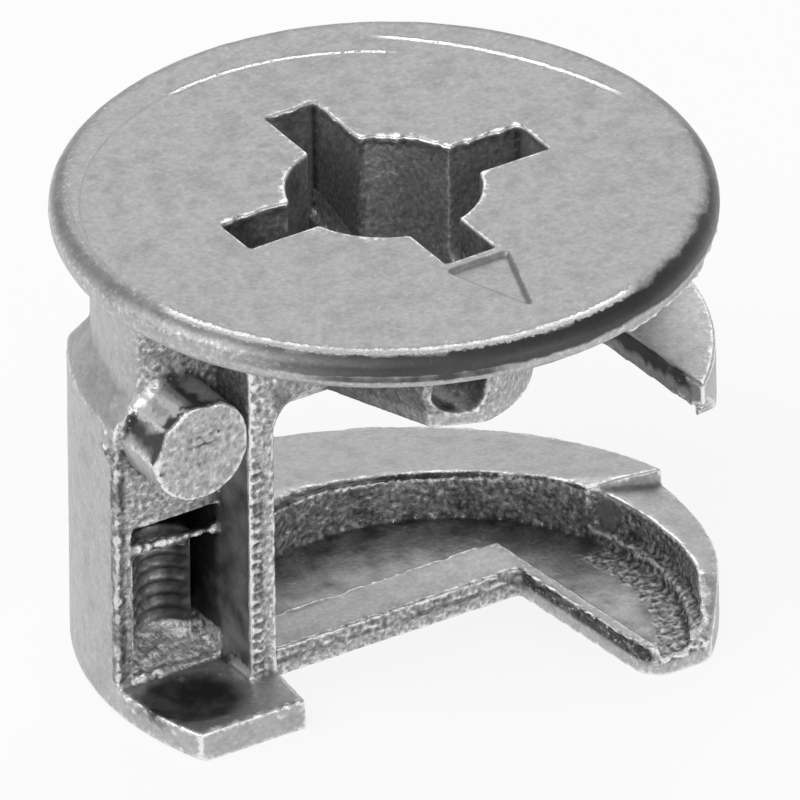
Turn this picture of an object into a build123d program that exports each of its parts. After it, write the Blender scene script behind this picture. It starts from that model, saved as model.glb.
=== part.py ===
from build123d import *
from math import cos, radians, sin, tan
import os

# Furniture cam lock: one zinc die casting, in millimetres.
# +Z is the axis the cam turns about, and the origin is on that axis at the bottom face.
# The bolt comes in from -Y, and the upright column that joins the two jaws stands at -X.

# Disc, neck and body of the turned blank
disc_diameter = 15.0
disc_thickness = 0.95
disc_top_round = 0.55
disc_top_fall = 0.35
disc_lower_round = 0.35
disc_lower_rise = 0.4
total_height = 11.5
body_diameter = 14.5
body_offset_x = 0.08
body_offset_y = -0.1
neck_inset = 0.65
shoulder_height = 0.75
bevel_direction = 118.4
bevel_inset = 0.195
bevel_angle = 50.5
bottom_chamfer = 0.12

# Room for the bolt: its head turns in a round groove that is off the cam's axis, inside the claw wall
bolt_height = 3.7
head_room = 6.5
claw_wall = 1.5
groove_offset_x = 0.4
groove_offset_y = -1.9
ledge_width = 0.2
ledge_drop = 0.1
neck_gap = 3.9
flare_angle = 12.4
flare_direction = 60.0
flare_start = 3.3

# Jaw plates: the slot that the bolt enters by, and the low lip along its edge
plate_thickness = 0.75
slot_end = -0.45
lower_slot_right = 3.15
lower_slot_splay = 5.5
upper_slot_end = 0.05
upper_slot_right = 4.6
upper_slot_splay = 3.5
strip_depth = 1.25
lip_width = 0.35

# Claws: thin walls that fall away outwards and towards their tips
claw_inner_drop = 0.15
claw_outer_drop = 0.51
claw_shift = 0.3
claw_step = 0.15
claw_setback = 2.05
tip_radius = 0.6
tip_length = 1.0
tip_drop = 1.2

# Column: two walls with a pocket between them, and the tab of the lower plate
column_thickness = 3.5
inner_wall = 0.7
inner_wall_front = -1.3
outer_wall = 0.42
outer_wall_front = 0.0
tab_front = -2.7
tab_taper = 0.15
pocket_roof = 2.7
pocket_depth = 2.4
pocket_ramp = 1.0

# Stub of the casting gate, left on the column
gate_diameter = 2.45
gate_inset = 2.05
gate_drop = 0.17
gate_front = -1.5

# Hub under the disc, with two leaning flats given by direction and distance from the axis
hub_diameter = 6.6
hub_drop = 0.65
hub_flats = ((201.5, 1.54), (246.2, 2.74))
hub_flat_lean = 15.0
hub_wall = 0.5
web_rise = 0.25
web_radius = 0.7

# Driver recess: a round well with four arms, the front one deeper and shorter than the rest
recess_diameter = 4.4
recess_floor_wall = 0.65
arm_width = 1.3
arm_reach = 3.95
arm_floor_wall = 0.6
front_arm_floor_wall = 0.4
front_arm_reach = 3.6

# Arrowhead sunk in the top face, pointing to the bolt
arrow_gap = 0.3
arrow_width = 1.6
arrow_length = 2.25
arrow_depth = 0.12

disc_radius = disc_diameter / 2
body_radius = body_diameter / 2
neck_radius = body_radius - neck_inset
bevel_start = neck_radius - bevel_inset
claw_inner_x = body_radius - claw_wall
groove_radius = claw_inner_x - groove_offset_x
body_height = 2 * bolt_height
disc_underside = total_height - disc_thickness
floor_height = bolt_height - head_room / 2
ceiling_height = bolt_height + head_room / 2
lower_lip = bolt_height - neck_gap / 2
upper_lip = bolt_height + neck_gap / 2
upper_plate_bottom = body_height - plate_thickness
strip_back = slot_end + strip_depth
claw_inner_top = lower_lip - claw_inner_drop
claw_outer_top = lower_lip - claw_outer_drop
claw_tip = claw_setback - body_radius
tip_fall_start = claw_tip + tip_length
tip_height = lower_lip - tip_drop
column_face = column_thickness - body_radius
tab_right = column_face - tab_taper
pocket_top = body_height - pocket_roof
gate_x = column_face - gate_inset
gate_height = body_height - gate_drop
hub_bottom = body_height - hub_drop
web_bottom = body_height + web_rise
recess_floor = hub_bottom + recess_floor_wall
front_arm_floor = hub_bottom + front_arm_floor_wall
arm_floor = web_bottom + arm_floor_wall
arrow_base = -front_arm_reach - arrow_gap
arrow_tip = arrow_base - arrow_length
pocket_left = body_offset_x - body_radius + outer_wall
pocket_right = column_face - inner_wall
beyond = disc_radius + 2.0
lower_splay = tan(radians(lower_slot_splay))
upper_splay = tan(radians(upper_slot_splay))


def slot_side(right, splay, y):
    """X of the claw's edge beside the slot, at a distance y along it."""
    return right + (slot_end - y) * splay


def leaning_plane(direction):
    """Upright plane through the axis: its X runs out in the given direction, its Y is the height."""
    outward = Vector(cos(radians(direction)), sin(radians(direction)), 0)
    return Plane(origin=(0, 0, 0), x_dir=outward, z_dir=outward.cross(Vector(0, 0, 1)))


# Turned blank: the disc with its rounded rim, and the neck under it
with BuildPart() as cam_housing:
    with BuildSketch(Plane.XZ):
        with BuildLine():
            side = Polyline(
                (0, total_height),
                (0, 0),
                (neck_radius, 0),
                (neck_radius, disc_underside),
                (disc_radius - disc_lower_round, disc_underside),
            )
            lower_round = ThreePointArc(
                side @ 1,
                (disc_radius - disc_lower_round / 3, disc_underside + disc_lower_rise / 3),
                (disc_radius, disc_underside + disc_lower_rise),
            )
            top_round = TangentArc(
                (disc_radius - disc_top_round, total_height),
                (disc_radius, total_height - disc_top_fall),
                tangent=(1, 0),
            )
            Line(lower_round @ 1, top_round @ 1)
            Line(top_round @ 0, side @ 0)
        make_face()
    revolve(axis=Axis.Z)

    # Body, a little off the disc's axis, with its shoulder sloping in to the neck
    with BuildSketch(Plane.XY):
        with Locations((body_offset_x, body_offset_y)):
            Circle(body_radius)
    extrude(amount=body_height)
    chamfer(cam_housing.edges().group_by(Axis.Z)[0], length=bottom_chamfer)
    with BuildSketch(Plane.XY.offset(body_height)):
        with Locations((body_offset_x, body_offset_y)):
            Circle(body_radius)
    with BuildSketch(Plane.XY.offset(body_height + shoulder_height)):
        Circle(neck_radius)
    loft()

    # Open front between the disc and the upper jaw, where the neck is left out
    with BuildSketch(Plane.XY.offset(body_height)):
        with Locations((column_face, inner_wall_front)):
            Rectangle(2 * beyond, beyond, align=(Align.MIN, Align.MAX))
    extrude(amount=disc_underside - body_height, mode=Mode.SUBTRACT)

# Flat bevel across the back of the shoulder, outside the neck
with BuildPart() as back_bevel:
    bevel_slope = tan(radians(bevel_angle))
    with BuildSketch(leaning_plane(bevel_direction)):
        with BuildLine():
            Polyline(
                (bevel_start - shoulder_height / bevel_slope, body_height + shoulder_height),
                (beyond, body_height + shoulder_height),
                (beyond, body_height - (beyond - bevel_start) * bevel_slope),
                close=True,
            )
        make_face()
    extrude(amount=beyond, both=True)
    with BuildSketch(Plane.XY):
        Circle(neck_radius)
    extrude(amount=total_height, mode=Mode.SUBTRACT)

# Bolt way: everything the bolt's neck and head pass through, kept clear of the column
with BuildPart() as bolt_way:
    with BuildSketch(Plane.XY.offset(plate_thickness)):
        with Locations((groove_offset_x, groove_offset_y)):
            Circle(groove_radius)
    extrude(amount=upper_plate_bottom - plate_thickness)
    with BuildSketch(Plane.XY.offset(lower_lip)):
        Circle(beyond)
    extrude(amount=neck_gap)

    # Flared mouth at the back, the same above and below the bolt
    flare_fall = (beyond - flare_start) * tan(radians(flare_angle))
    with BuildSketch(leaning_plane(flare_direction)):
        with BuildLine():
            Polyline(
                (flare_start, lower_lip),
                (beyond, lower_lip - flare_fall),
                (beyond, upper_lip + flare_fall),
                (flare_start, upper_lip),
                close=True,
            )
        make_face()
    extrude(amount=beyond, both=True)

    # Claws stand a step lower than the jaws behind them and fall outwards
    outward_fall = (claw_inner_top - claw_outer_top) / (body_radius - claw_inner_x)
    claw_low = claw_inner_top - outward_fall * (beyond - claw_inner_x)
    claw_high = claw_inner_top + outward_fall * claw_inner_x
    with BuildSketch(Plane.XZ.offset(-claw_step)):
        with BuildLine():
            Polyline(
                (0, claw_high),
                (beyond, claw_low),
                (beyond, body_height - claw_low),
                (0, body_height - claw_high),
                close=True,
            )
        make_face()
    extrude(amount=beyond)

    # Tips fall away, above and below the bolt
    with BuildSketch(Plane.YZ):
        with BuildLine():
            Polyline(
                (tip_fall_start, claw_inner_top),
                (claw_tip, tip_height),
                (-beyond, tip_height),
                (-beyond, body_height - tip_height),
                (claw_tip, body_height - tip_height),
                (tip_fall_start, body_height - claw_inner_top),
                close=True,
            )
        make_face()
    extrude(amount=beyond)

    with BuildSketch(Plane.XY):
        with Locations((column_face, 0)):
            Rectangle(beyond, 2 * beyond, align=(Align.MAX, Align.CENTER))
    extrude(amount=total_height, mode=Mode.SUBTRACT)

# Narrow ledge round the back of the groove, a small drop from the lips and their flare
with BuildPart() as ledge:
    with BuildSketch(Plane.XY.offset(lower_lip - ledge_drop)):
        Circle(beyond)
    extrude(amount=neck_gap + 2 * ledge_drop)
    with BuildSketch(leaning_plane(flare_direction)):
        with BuildLine():
            Polyline(
                (flare_start, lower_lip - ledge_drop),
                (beyond, lower_lip - ledge_drop - flare_fall),
                (beyond, upper_lip + ledge_drop + flare_fall),
                (flare_start, upper_lip + ledge_drop),
                close=True,
            )
        make_face()
    extrude(amount=beyond, both=True)
    with BuildSketch(Plane.XY):
        with Locations((groove_offset_x - ledge_width / 2, groove_offset_y + ledge_width / 2)):
            Circle(groove_radius + ledge_width / 2)
        with Locations((column_face, claw_step)):
            Rectangle(2 * beyond, beyond, align=(Align.MIN, Align.MIN), mode=Mode.INTERSECT)
    extrude(amount=total_height, mode=Mode.INTERSECT)

# Wider scoop inside both claws, between the two jaw plates
with BuildPart() as claw_scoop:
    with BuildSketch(Plane.XY.offset(plate_thickness)):
        with Locations((groove_offset_x + claw_shift, groove_offset_y)):
            Circle(groove_radius)
        with Locations((0, claw_step)):
            Rectangle(beyond, beyond, align=(Align.MIN, Align.MAX), mode=Mode.INTERSECT)
    extrude(amount=upper_plate_bottom - plate_thickness)

# Shallow trough of each jaw plate, inside the lip that runs along the slot
with BuildPart() as troughs:
    for base, top, right, splay in (
        (floor_height, plate_thickness, lower_slot_right, lower_splay),
        (upper_plate_bottom, ceiling_height, upper_slot_right, upper_splay),
    ):
        with BuildSketch(Plane.XY.offset(base)):
            with Locations((groove_offset_x, groove_offset_y)):
                Circle(groove_radius)
            with BuildLine():
                Polyline(
                    (-beyond, strip_back),
                    (slot_side(right, splay, strip_back) + lip_width, strip_back),
                    (slot_side(right, splay, -beyond) + lip_width, -beyond),
                    (-beyond, -beyond),
                    close=True,
                )
            make_face(mode=Mode.SUBTRACT)
            with Locations((column_face, 0)):
                Rectangle(beyond, 2 * beyond, align=(Align.MAX, Align.CENTER), mode=Mode.SUBTRACT)
        extrude(amount=top - base)

# Entry slot through the lower jaw plate, splayed towards the rim, with a rounded claw tip
with BuildPart() as lower_slot:
    with BuildSketch(Plane.XY):
        with BuildLine():
            edge = Polyline(
                (tab_right, tab_front),
                (column_face, inner_wall_front),
                (column_face, slot_end),
                (slot_side(lower_slot_right, lower_splay, slot_end), slot_end),
                (
                    slot_side(lower_slot_right, lower_splay, claw_tip + tip_radius),
                    claw_tip + tip_radius,
                ),
            )
            nose = TangentArc(
                edge @ 1,
                (slot_side(lower_slot_right, lower_splay, claw_tip) + tip_radius, claw_tip),
                tangent=(lower_splay, -1),
            )
            Polyline(
                nose @ 1,
                (beyond, claw_tip),
                (beyond, -beyond),
                (-beyond, -beyond),
                (-beyond, tab_front),
                (tab_right, tab_front),
            )
        make_face()
    extrude(amount=lower_lip)

# Entry slot through the upper jaw plate, up to the web over it
with BuildPart() as upper_slot:
    with BuildSketch(Plane.XY.offset(upper_lip)):
        with BuildLine():
            Polyline(
                (column_face, upper_slot_end),
                (slot_side(upper_slot_right, upper_splay, upper_slot_end), upper_slot_end),
                (slot_side(upper_slot_right, upper_splay, -beyond), -beyond),
                (column_face, -beyond),
                close=True,
            )
        make_face()
    extrude(amount=web_bottom - upper_lip)

# Rounded corner where the web meets the column, seen as an arch from the front
with BuildPart() as web_corner:
    with BuildSketch(Plane.XZ.offset(-inner_wall_front)):
        with Locations((column_face, web_bottom)):
            Rectangle(web_radius, web_radius, align=(Align.MIN, Align.MAX))
        with Locations((column_face + web_radius, web_bottom - web_radius)):
            Circle(web_radius, mode=Mode.SUBTRACT)
    extrude(amount=inner_wall_front - upper_slot_end)

# Front of the column cut back to its two walls
with BuildPart() as column_front:
    with BuildSketch(Plane.XY.offset(plate_thickness)):
        with BuildLine():
            Polyline(
                (column_face, inner_wall_front),
                (pocket_right, inner_wall_front),
                (pocket_right, outer_wall_front),
                (-beyond, outer_wall_front),
                (-beyond, -beyond),
                (column_face, -beyond),
                close=True,
            )
        make_face()
    extrude(amount=disc_underside - plate_thickness)

# Pocket between the walls, with a ramp up from the tab
with BuildPart() as pocket:
    with BuildSketch(Plane.YZ.offset(pocket_left)):
        with BuildLine():
            Polyline(
                (outer_wall_front, plate_thickness),
                (outer_wall_front + pocket_ramp, plate_thickness + pocket_ramp / 2),
                (outer_wall_front + pocket_depth, plate_thickness + pocket_ramp),
                (outer_wall_front + pocket_depth, pocket_top),
                (outer_wall_front, pocket_top),
                close=True,
            )
        make_face()
    extrude(amount=pocket_right - pocket_left)
    with BuildSketch(Plane.XY):
        with Locations((body_offset_x, body_offset_y)):
            Circle(body_radius - outer_wall)
    extrude(amount=total_height, mode=Mode.INTERSECT)

flat_spread = (disc_underside - hub_bottom) * tan(radians(hub_flat_lean))
wall_inset = hub_wall / cos(radians(hub_flat_lean))

# Hub, cut by its leaning flats
with BuildPart() as hub:
    with BuildSketch(Plane.XY.offset(hub_bottom)):
        Circle(hub_diameter / 2)
    extrude(amount=disc_underside - hub_bottom)
    for direction, distance in hub_flats:
        with BuildSketch(leaning_plane(direction)):
            with BuildLine():
                Polyline(
                    (distance, hub_bottom),
                    (distance + flat_spread, disc_underside),
                    (beyond, disc_underside),
                    (beyond, hub_bottom),
                    close=True,
                )
            make_face()
        extrude(amount=beyond, both=True, mode=Mode.SUBTRACT)

# Driver recess: its well keeps an even wall inside the hub's flats
with BuildPart() as recess:
    with BuildSketch(Plane.XY.offset(recess_floor)):
        Circle(recess_diameter / 2)
    extrude(amount=total_height - recess_floor)
    for direction, distance in hub_flats:
        with BuildSketch(leaning_plane(direction)):
            with BuildLine():
                Polyline(
                    (distance - wall_inset, hub_bottom),
                    (distance - wall_inset + flat_spread, disc_underside),
                    (beyond, disc_underside),
                    (beyond, hub_bottom),
                    close=True,
                )
            make_face()
        extrude(amount=beyond, both=True, mode=Mode.SUBTRACT)
    for plane, floor, reach in (
        (Plane.XZ, front_arm_floor, front_arm_reach),
        (Plane.XZ, arm_floor, -arm_reach),
        (Plane.YZ, arm_floor, arm_reach),
        (Plane.YZ, arm_floor, -arm_reach),
    ):
        with BuildSketch(plane):
            with Locations((0, floor + arm_width / 2)):
                Circle(arm_width / 2)
                Rectangle(arm_width, total_height, align=(Align.CENTER, Align.MIN))
        extrude(amount=reach)

with cam_housing:
    add(back_bevel.part, mode=Mode.SUBTRACT)
    add(bolt_way.part, mode=Mode.SUBTRACT)
    add(ledge.part, mode=Mode.SUBTRACT)
    add(claw_scoop.part, mode=Mode.SUBTRACT)
    add(troughs.part, mode=Mode.SUBTRACT)
    add(lower_slot.part, mode=Mode.SUBTRACT)
    add(upper_slot.part, mode=Mode.SUBTRACT)
    add(column_front.part, mode=Mode.SUBTRACT)
    add(pocket.part, mode=Mode.SUBTRACT)
    add(hub.part)
    add(web_corner.part)

    # Broken-off gate
    with BuildSketch(Plane.XZ.offset(-gate_front)):
        with Locations((gate_x, gate_height)):
            Circle(gate_diameter / 2)
    extrude(amount=gate_front - outer_wall_front - gate_diameter / 4)

    add(recess.part, mode=Mode.SUBTRACT)

    # Arrowhead
    with BuildSketch(Plane.XY.offset(total_height)):
        with BuildLine():
            Polyline(
                (-arrow_width / 2, arrow_base),
                (arrow_width / 2, arrow_base),
                (0, arrow_tip),
                close=True,
            )
        make_face()
    extrude(amount=-arrow_depth, mode=Mode.SUBTRACT)

cam_housing.part.label = "cam_housing"
os.makedirs("parts", exist_ok=True)
export_step(cam_housing.part, "parts/cam_housing.step")
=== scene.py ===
# %% [markdown]
# A furniture cam lock is a small zinc die casting: a round disc with a cross recess for a driver,
# and under it two jaws that pull in the head of a bolt. It comes here as one solid, in metres, with
# the turning axis on Z and the bottom face at zero. The dressed model has to stay inside its box,
# so the box is kept from the start.

# %% Load the frame and keep its box
import bmesh
import bpy
import numpy as np
from math import cos, radians, sin
from mathutils import Matrix, Vector


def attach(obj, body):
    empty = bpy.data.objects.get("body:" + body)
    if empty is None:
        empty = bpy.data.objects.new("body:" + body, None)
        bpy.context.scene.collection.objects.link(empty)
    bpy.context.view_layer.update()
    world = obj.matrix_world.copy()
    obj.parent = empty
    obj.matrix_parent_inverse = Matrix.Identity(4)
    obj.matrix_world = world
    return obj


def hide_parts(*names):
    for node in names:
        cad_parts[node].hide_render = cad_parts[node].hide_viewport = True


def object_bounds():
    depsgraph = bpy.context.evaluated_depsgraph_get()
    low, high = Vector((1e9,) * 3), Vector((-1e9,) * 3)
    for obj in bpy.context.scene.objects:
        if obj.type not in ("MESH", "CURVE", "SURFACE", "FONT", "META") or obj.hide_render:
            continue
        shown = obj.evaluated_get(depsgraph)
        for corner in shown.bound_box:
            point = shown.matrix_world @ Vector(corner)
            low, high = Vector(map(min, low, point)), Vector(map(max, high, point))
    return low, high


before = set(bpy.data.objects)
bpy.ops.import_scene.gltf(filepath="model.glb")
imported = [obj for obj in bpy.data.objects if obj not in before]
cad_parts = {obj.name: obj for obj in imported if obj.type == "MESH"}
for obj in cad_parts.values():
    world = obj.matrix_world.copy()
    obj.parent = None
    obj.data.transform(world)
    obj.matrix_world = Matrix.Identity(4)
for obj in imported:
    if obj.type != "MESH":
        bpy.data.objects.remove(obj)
casting_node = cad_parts["cam_housing"]
cad_low, cad_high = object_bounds()
MM = 0.001
print("CAD box in mm:", [round(v / MM, 3) for v in (*cad_low, *cad_high)])

# %% [markdown]
# The camera could be a long lens far away or a camera without perspective. The near and the far
# side of the disc have the same scale in the picture, so the second is the simpler and truer one.
# It looks down at 31 degrees, from the side where the bolt enters, and is turned a little about
# its own axis. The picture's middle is a little right of the disc's centre and well below it.

# %% Camera
VIEW_AZIMUTH = radians(-32.0)
VIEW_ELEVATION = radians(31.0)
VIEW_ROLL = radians(-0.69)
VIEW_WIDTH = 17.857 * MM
VIEW_RIGHT = 0.3025
VIEW_DOWN = 4.5576
VIEW_DISTANCE = 80
VIEW_NEAR = 1 * MM
VIEW_FAR = 2.0
DISC_CENTRE = Vector((0, 0, 11.2275 * MM))


def placed(name, data):
    """A new object in the scene, which holds the given data."""
    thing = bpy.data.objects.new(name, data)
    bpy.context.scene.collection.objects.link(thing)
    return thing


back = Vector((
    sin(VIEW_AZIMUTH) * cos(VIEW_ELEVATION),
    -cos(VIEW_AZIMUTH) * cos(VIEW_ELEVATION),
    sin(VIEW_ELEVATION),
))
right = Vector((cos(VIEW_AZIMUTH), sin(VIEW_AZIMUTH), 0))
up = back.cross(right)
middle = DISC_CENTRE + right * VIEW_RIGHT * MM - up * VIEW_DOWN * MM

camera_data = bpy.data.cameras.new("camera")
camera_data.type = "ORTHO"
camera_data.ortho_scale = VIEW_WIDTH
camera_data.clip_start = VIEW_NEAR
camera_data.clip_end = VIEW_FAR
camera = placed("camera", camera_data)
turned = Matrix((right, up, back)).transposed() @ Matrix.Rotation(VIEW_ROLL, 3, "Z")
camera.matrix_world = Matrix.Translation(middle + back * VIEW_DISTANCE * MM) @ turned.to_4x4()
bpy.context.scene.camera = camera
print("camera looks at", [round(v / MM, 3) for v in middle])

# %% [markdown]
# The solid's edges are perfectly sharp, but a casting's edges are slightly round and its skin is
# uneven. The work starts on a copy of the solid. It is merged first, because the CAD mesh is loose
# triangles, and it is held in millimetres, because the tools below work badly on tiny numbers.

# %% Merged copy of the casting
MERGE_WITHIN = 1e-7


def merged_copy(cad_node, name):
    """A copy of a CAD node's mesh, with its loose triangles merged, in millimetres."""
    data = cad_node.data.copy()
    data.name = name
    shell = bmesh.new()
    shell.from_mesh(data)
    bmesh.ops.remove_doubles(shell, verts=shell.verts, dist=MERGE_WITHIN)
    shell.to_mesh(data)
    shell.free()
    data.transform(Matrix.Scale(1 / MM, 4))
    return placed(name, data)


casting = merged_copy(casting_node, "zinc_casting")
zinc = bpy.data.materials.new("cast_zinc")
print("merged faces:", len(casting.data.polygons))

# %% [markdown]
# The burrs, the ridges, the uneven skin and the finish are node trees. They could be drawn by hand
# in the node editor, but in a script each size stays a named value. So a few helpers come first:
# one makes a tree, one makes a node with its inputs set, and the others do a step of arithmetic.

# %% Helpers for node trees
SOCKETS = {
    "float": "NodeSocketFloat", "int": "NodeSocketInt", "vector": "NodeSocketVector",
    "shape": "NodeSocketGeometry", "metal": "NodeSocketMaterial",
}


def new_tree(name, kind, inputs, outputs):
    """A node tree whose inputs each have a usual number or a kind, and the sockets that give them."""
    tree = bpy.data.node_groups.new(name, kind)
    for label, usual in inputs.items():
        sort = usual if isinstance(usual, str) else type(usual).__name__
        socket = tree.interface.new_socket(name=label, in_out="INPUT", socket_type=SOCKETS[sort])
        if sort != usual:
            socket.default_value = usual
    for label, sort in outputs.items():
        tree.interface.new_socket(name=label, in_out="OUTPUT", socket_type=SOCKETS[sort])
    return tree, tree.nodes.new("NodeGroupInput").outputs


def feed(tree, socket, value):
    """Links an input to another socket, or sets it to a value."""
    if isinstance(value, bpy.types.NodeSocket):
        tree.links.new(value, socket)
    else:
        socket.default_value = value


def node(tree, kind, settings=None, **inputs):
    """The first output of a new node; in the names of its inputs, _ stands for a space."""
    made = tree.nodes.new(kind)
    for name, value in (settings or {}).items():
        setattr(made, name, value)
    for name, value in inputs.items():
        feed(tree, made.inputs[name.replace("_", " ")], value)
    return next((socket for socket in made.outputs if socket.enabled), None)


def calc(tree, operation, first, second=0.0):
    """One step of arithmetic between sockets or numbers."""
    step = tree.nodes.new("ShaderNodeMath")
    step.operation = operation
    feed(tree, step.inputs[0], first)
    feed(tree, step.inputs[1], second)
    return step.outputs[0]


def times(tree, first, second):
    """One value times another."""
    return calc(tree, "MULTIPLY", first, second)


def swing(tree, noise, reach):
    """Noise about a half, made noise about zero, times a reach."""
    return times(tree, calc(tree, "SUBTRACT", noise, 0.5), reach)


def spread(tree, value, low, high, to_low=0.0, to_high=1.0):
    """Takes a value from one range to another, and holds it there."""
    return node(
        tree, "ShaderNodeMapRange",
        Value=value, From_Min=low, From_Max=high, To_Min=to_low, To_Max=to_high,
    )


print("kinds of input that a tree can have:", ", ".join(SOCKETS))

# %% [markdown]
# A tree that makes a shape ends in two nodes. Realize Instances turns copies that only refer to a
# mesh into real faces, and Set Material gives them their metal. The tree then runs as a modifier on
# an object that exists only for a moment, and what comes out is a plain mesh. The modifier knows
# its inputs by an identifier and not by their names, so the names are looked up first.

# %% Helpers to end a tree and to run it
def close_tree(tree, results):
    """Links the results of a tree to its outputs."""
    ends = tree.nodes.new("NodeGroupOutput").inputs
    for label, value in results.items():
        tree.links.new(value, ends[label])
    return tree


def close_shape(tree, label, shape, metal):
    """Ends a tree that makes a shape: real geometry in its material."""
    whole = node(tree, "GeometryNodeRealizeInstances", Geometry=shape)
    dressed = node(tree, "GeometryNodeSetMaterial", Geometry=whole, Material=metal)
    return close_tree(tree, {label: dressed})


def evaluated(thing):
    """A plain mesh of what an object's modifiers give."""
    depsgraph = bpy.context.evaluated_depsgraph_get()
    return bpy.data.meshes.new_from_object(thing.evaluated_get(depsgraph))


def shaped_by(data, tree, values):
    """The mesh that a tree makes of a mesh or a curve, with its inputs set by identifier."""
    carrier = placed(tree.name, data)
    modifier = carrier.modifiers.new(tree.name, "NODES")
    modifier.node_group = tree
    for item in tree.interface.items_tree:
        if item.in_out == "INPUT" and item.name in values:
            modifier[item.identifier] = values[item.name]
    made = evaluated(carrier)
    bpy.data.objects.remove(carrier)
    return made


print("node trees so far:", len(bpy.data.node_groups))

# %% [markdown]
# Where the two halves of the die meet, and where the casting was trimmed, thin ragged lines of
# metal stand up: burrs. They could be drawn in the material, but a line that stands up catches the
# light from every side. So a node tree turns any path into a ragged thread of metal: its inputs
# are the thickness, the raggedness and the number of rags, and the seed is fixed.

# %% Node tree for a burr along a path
BURR_STEP = 0.04
BURR_SIDES = 8
NOISE_LOW = 0.35
NOISE_HIGH = 0.65


def burr_tree():
    """Path in, ragged thread of metal out."""
    tree, given = new_tree("burr_on_path", "GeometryNodeTree", {
        "Path": "shape", "Thickness": 0.05, "Raggedness": 0.7, "Rags per mm": 3.0, "Seed": 0.0,
        "Metal": "metal",
    }, {"Burr": "shape"})
    line = node(
        tree, "GeometryNodeResampleCurve", {"mode": "LENGTH"}, Curve=given["Path"], Length=BURR_STEP,
    )
    rags = node(
        tree, "ShaderNodeTexNoise", {"noise_dimensions": "4D"}, W=given["Seed"], Detail=3.0,
        Vector=node(tree, "GeometryNodeInputPosition"), Scale=given["Rags per mm"],
    )
    thinnest = calc(tree, "SUBTRACT", 1.0, given["Raggedness"])
    thickest = calc(tree, "ADD", 1.0, given["Raggedness"])
    shape = spread(tree, rags, NOISE_LOW, NOISE_HIGH, thinnest, thickest)
    width = times(tree, shape, given["Thickness"])
    ring = node(tree, "GeometryNodeCurvePrimitiveCircle", Radius=1.0, Resolution=BURR_SIDES)
    thread = node(
        tree, "GeometryNodeCurveToMesh", Curve=line, Profile_Curve=ring, Scale=width, Fill_Caps=True,
    )
    return close_shape(tree, "Burr", thread, given["Metal"])


BURR = burr_tree()
print("nodes in the burr tree:", len(BURR.nodes))

# %% [markdown]
# The driver recess is a cross with a round well in its middle, and torn metal stands along its
# edge. The paths run just under the top face: round the well, and along the sides of the arms. Each
# row gives a name, the path in millimetres, the thickness in millimetres and the raggedness.

# %% Burrs round the driver recess
TOP = 11.5
EDGE_HEIGHT = TOP - 0.06
AXIS = (0.0, 0.0)
RECESS_ARM = 0.65
RECESS_REACH = 3.95
RECESS_RADIUS = 2.2
ARM_ROOT = 2.1


def level_line(start, end, height):
    """A straight level path between two places."""
    return [(*start, height), (*end, height)]


def ring_path(centre, radius, start, end, height, steps=24):
    """Points on an arc round an upright axis, from one angle to another."""
    return [
        (centre[0] + radius * cos(a), centre[1] + radius * sin(a), height)
        for a in np.radians(np.linspace(start, end, steps))
    ]


arm_back_left = (-RECESS_ARM, RECESS_REACH)
arm_back_right = (RECESS_ARM, RECESS_REACH)
RECESS_BURRS = [
    ("recess_well", ring_path(AXIS, RECESS_RADIUS, 72, 17, EDGE_HEIGHT), 0.085, 0.9),
    ("recess_back_arm", level_line(arm_back_left, arm_back_right, EDGE_HEIGHT), 0.04, 0.9),
    ("recess_back_side", level_line(arm_back_right, (RECESS_ARM, ARM_ROOT), EDGE_HEIGHT), 0.03, 0.9),
    ("recess_right_arm", level_line(
        (ARM_ROOT, RECESS_ARM), (RECESS_REACH, RECESS_ARM), EDGE_HEIGHT), 0.075, 0.9),
    ("recess_left_arm", level_line(
        (-RECESS_REACH, RECESS_ARM), (-ARM_ROOT, RECESS_ARM), EDGE_HEIGHT), 0.07, 0.9),
]
print("burrs round the recess:", len(RECESS_BURRS))

# %% [markdown]
# The column joins the two jaws at the left. The parting line of the die runs down its corner, and
# the die left two bars across the mouth of its pocket. The ramp at the pocket's bottom has a ragged
# crest, a ragged top and one streak.

# %% Burrs on the column and in its pocket
WALL_LEFT = -4.45
WALL_FRONT = -1.3
PARTING = -7.13

COLUMN_BURRS = [
    ("wall_corner", [(WALL_LEFT, WALL_FRONT, 0.75), (WALL_LEFT, WALL_FRONT, 6.2)], 0.05, 0.35),
    ("parting_corner", [(PARTING, 0.0, 0.9), (PARTING, 0.0, 6.9)], 0.06, 0.9),
    ("parting_nub", [(PARTING, 0.25, 6.7), (PARTING, 0.35, 7.35)], 0.13, 0.7),
    ("pocket_bar", [(-6.75, 0.1, 4.16), (WALL_LEFT, 0.1, 4.05)], 0.12, 0.6),
    ("pocket_lower_bar", [(-6.75, 0.2, 3.93), (-5.1, 0.2, 3.88)], 0.07, 0.8),
    ("ramp_crest", [(-6.7, 0.03, 0.86), (WALL_LEFT, 0.03, 0.78)], 0.06, 0.8),
    ("ramp_top", [(-6.3, 1.0, 1.16), (WALL_LEFT, 1.0, 1.22)], 0.06, 0.7),
    ("ramp_streak", [(-6.5, 0.3, 0.95), (-5.0, 0.85, 1.15)], 0.05, 0.8),
]
print("burrs on the column:", len(COLUMN_BURRS))

# %% [markdown]
# The last burrs lie along the strip and the lip of the lower jaw, on the hub's rib, as flash under
# the disc's rim and at the back of the jaw's sloped top, and as two lines round the tab's front.
# A burr's seed is the number of its row, so rows keep their order and a new one comes last.

# %% Burrs on the jaws, the hub, the rim and the tab
BODY_AXIS = (0.08, -0.1)
STRIP_FRONT = -0.46
JAW_HEIGHT = 2.48
JAW_FALL_X = 0.112
JAW_FALL_Y = 0.194
TAB_RADIUS = 7.21
TAB_END = (-4.0, -2.67)


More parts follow.
